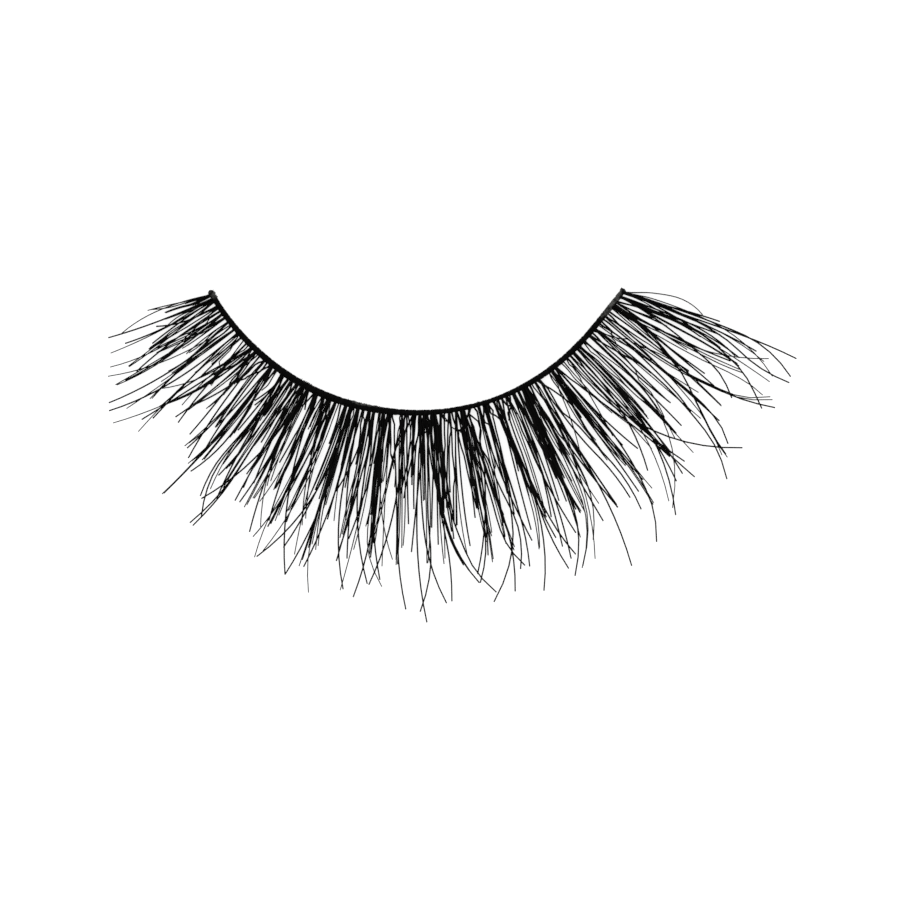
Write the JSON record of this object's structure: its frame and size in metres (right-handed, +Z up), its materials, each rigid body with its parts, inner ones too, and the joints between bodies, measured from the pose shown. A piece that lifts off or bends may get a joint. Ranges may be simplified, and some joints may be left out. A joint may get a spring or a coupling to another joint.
{
  "type": "false eyelash strip",
  "caption": "Curved false eyelash strip: a thin black band with a row of knots, short crossing lashes beneath, and long blunt lashes that fan outwards and curl up.",
  "frame": {"origin": "middle of the band's flat underside, on the surface that the strip lies on", "axes": "+X along the band at its middle, towards the end with the longer outer-corner lashes; -Y the way the lashes point there; +Z up, the way they curl"},
  "size_m": [0.0459, 0.0223, 0.0049],
  "materials": {
    "band_cord": "matte black cord stiffened with glue",
    "lash_hair": "satin black hair"
  },
  "bodies": {
    "root": {"band": "band_cord", "under_lashes": "lash_hair", "upper_lashes": "lash_hair"}
  },
  "joints": []
}
